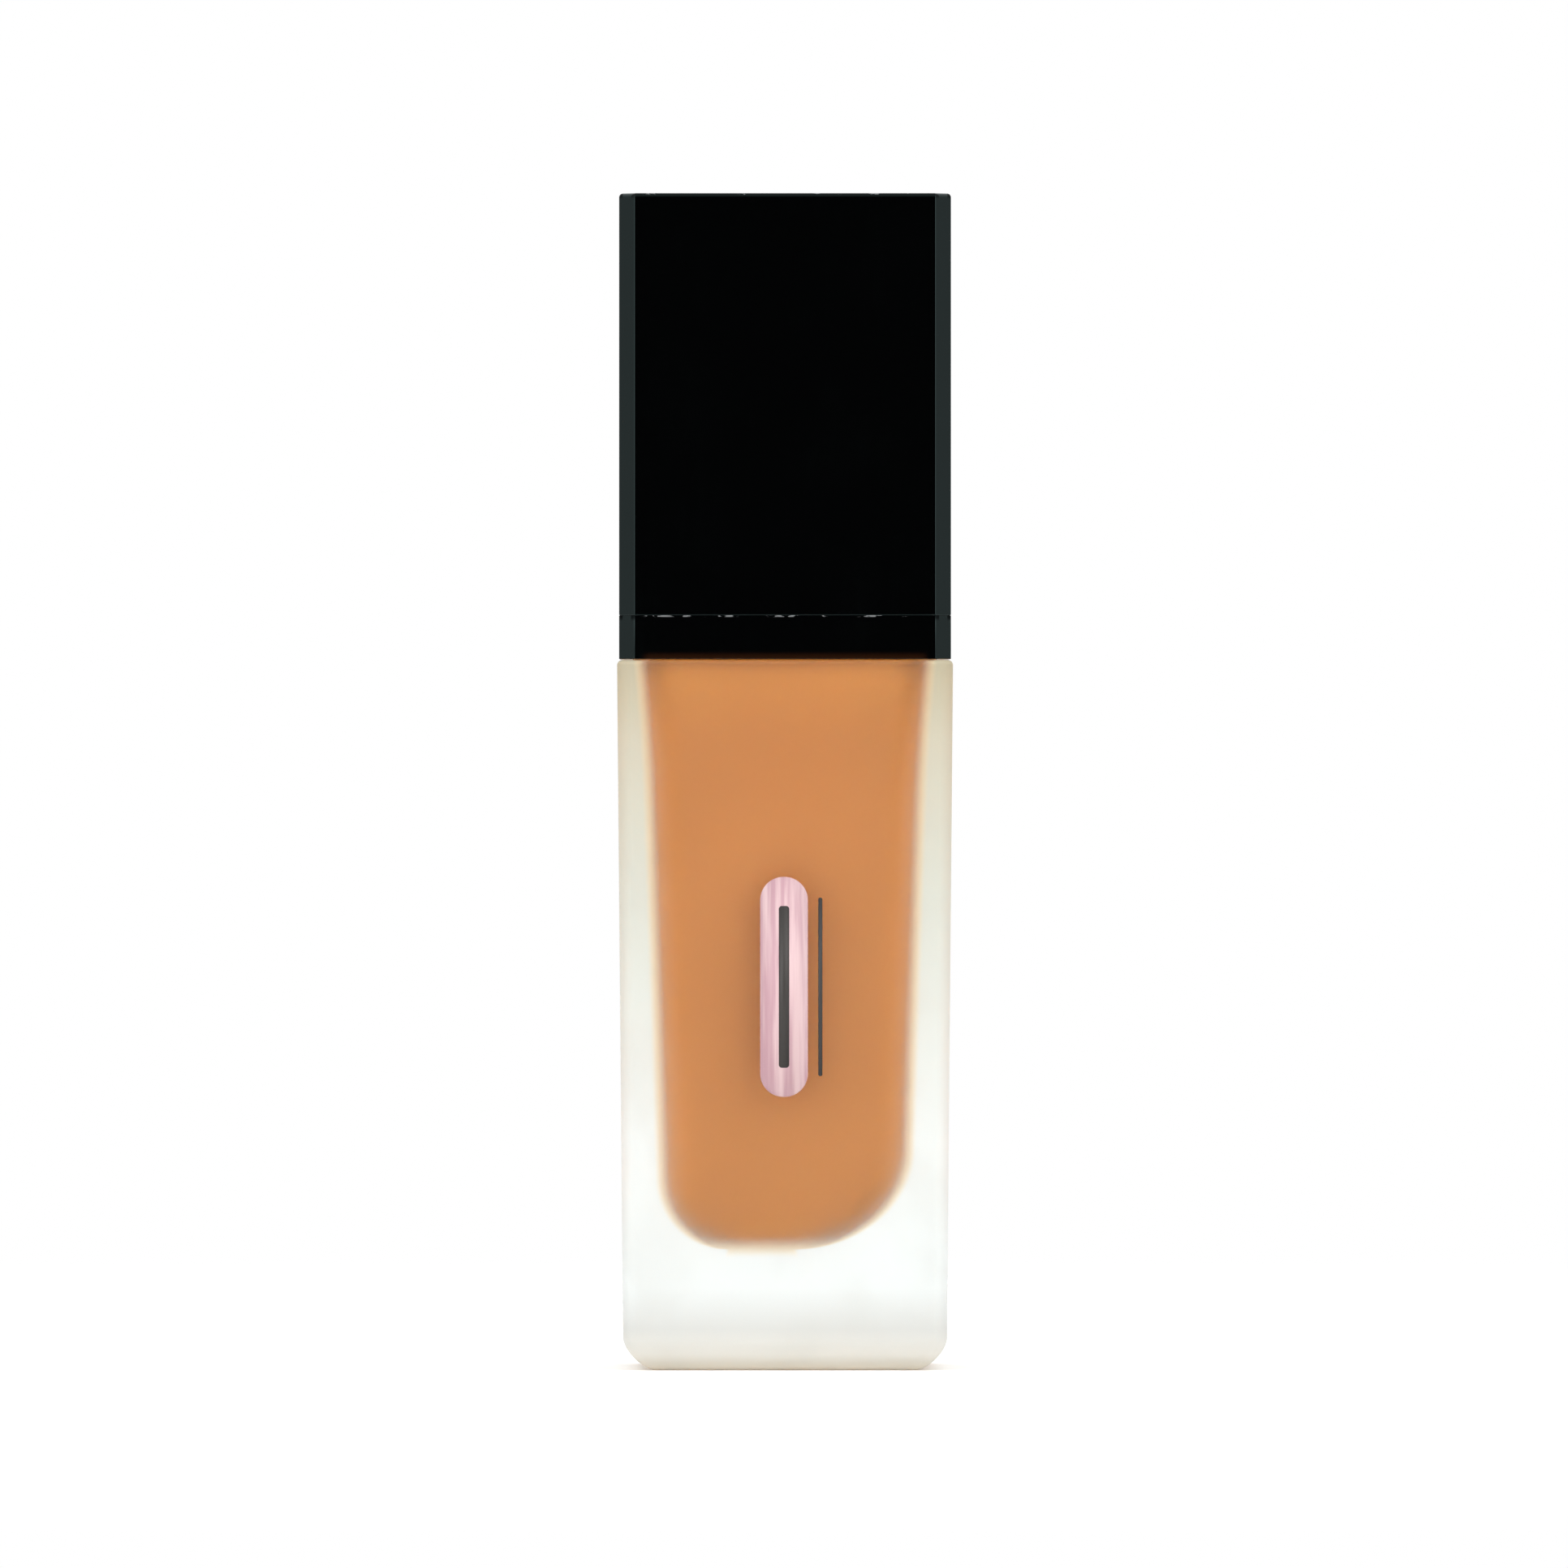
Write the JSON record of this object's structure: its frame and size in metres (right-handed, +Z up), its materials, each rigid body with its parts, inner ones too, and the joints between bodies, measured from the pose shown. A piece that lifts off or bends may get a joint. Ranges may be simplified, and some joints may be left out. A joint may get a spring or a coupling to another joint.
{
  "type": "foundation bottle",
  "caption": "Square frosted glass bottle with a screw-on pump, a square black collar and a tall square black pull-off overcap.",
  "frame": {"origin": "middle of the underside of the glass bottle, on the surface that it stands on", "axes": "+Z up along the bottle, pump and cap; -Y is the front, the side that the spout faces; +X is to the right seen from the front"},
  "size_m": [0.0324, 0.0324, 0.1135],
  "materials": {
    "frosted_glass": "acid-frosted outside, smooth inside",
    "liquid_foundation": "opaque warm beige cream",
    "label_film": "satin film, blank",
    "gloss_black": "polished black",
    "satin_black": "satin black",
    "natural_plastic": "milky natural polymer",
    "seal_foam": "foamed seal sheet",
    "seal_rubber": "soft black elastomer",
    "spring_steel": "drawn stainless wire",
    "glass_ball": "polished"
  },
  "bodies": {
    "bottle": {"glass_bottle": "frosted_glass", "foundation_fill": "liquid_foundation", "base_label": "label_film", "shoulder_collar": "gloss_black"},
    "pump_core": {"pump_housing": "natural_plastic", "neck_gasket": "seal_foam", "dip_tube": "natural_plastic", "ball_cage": "natural_plastic", "return_spring": "spring_steel", "stem_seal": "seal_rubber", "stem_guide": "satin_black"},
    "closure": {"screw_closure": "satin_black"},
    "plunger": {"stem": "natural_plastic", "piston_rod": "natural_plastic"},
    "piston": {"piston": "natural_plastic"},
    "inlet_ball": {"inlet_ball": "glass_ball"},
    "actuator": {"actuator_head": "satin_black"},
    "cap": {"cap_shell": "gloss_black", "cap_liner": "satin_black"}
  },
  "joints": [
    {"name": "thread_rise", "type": "slide", "parent": "bottle", "child": "pump_core", "axis": [0, 0, 1], "range_m": [0, 0.004]},
    {"name": "closure_turn", "type": "hinge", "parent": "pump_core", "child": "closure", "pos_m": [0, 0, 0.074], "axis": [0, 0, 1], "range_deg": [0, 450]},
    {"name": "pump_stroke", "type": "slide", "parent": "pump_core", "child": "plunger", "axis": [0, 0, 1], "range_m": [-0.0045, 0], "stiffness_N_per_m": 800, "springref_m": 0.006, "deforming": ["return_spring"]},
    {"name": "piston_lag", "type": "slide", "parent": "plunger", "child": "piston", "axis": [0, 0, 1], "range_m": [0, 0.0007]},
    {"name": "actuator_spin", "type": "hinge", "parent": "plunger", "child": "actuator", "pos_m": [0, 0, 0.095], "axis": [0, 0, 1], "continuous": true},
    {"name": "inlet_ball_lift", "type": "slide", "parent": "pump_core", "child": "inlet_ball", "axis": [0, 0, 1], "range_m": [0, 0.0008]},
    {"name": "cap_lift", "type": "slide", "parent": "bottle", "child": "cap", "axis": [0, 0, 1], "range_m": [0, 0.045]}
  ],
  "couplings": [
    {"joint": "thread_rise", "follows": "closure_turn", "m_per_rad": 0.00050611},
    {"joint": "piston_lag", "follows": "pump_stroke", "ratio": -0.15}
  ]
}
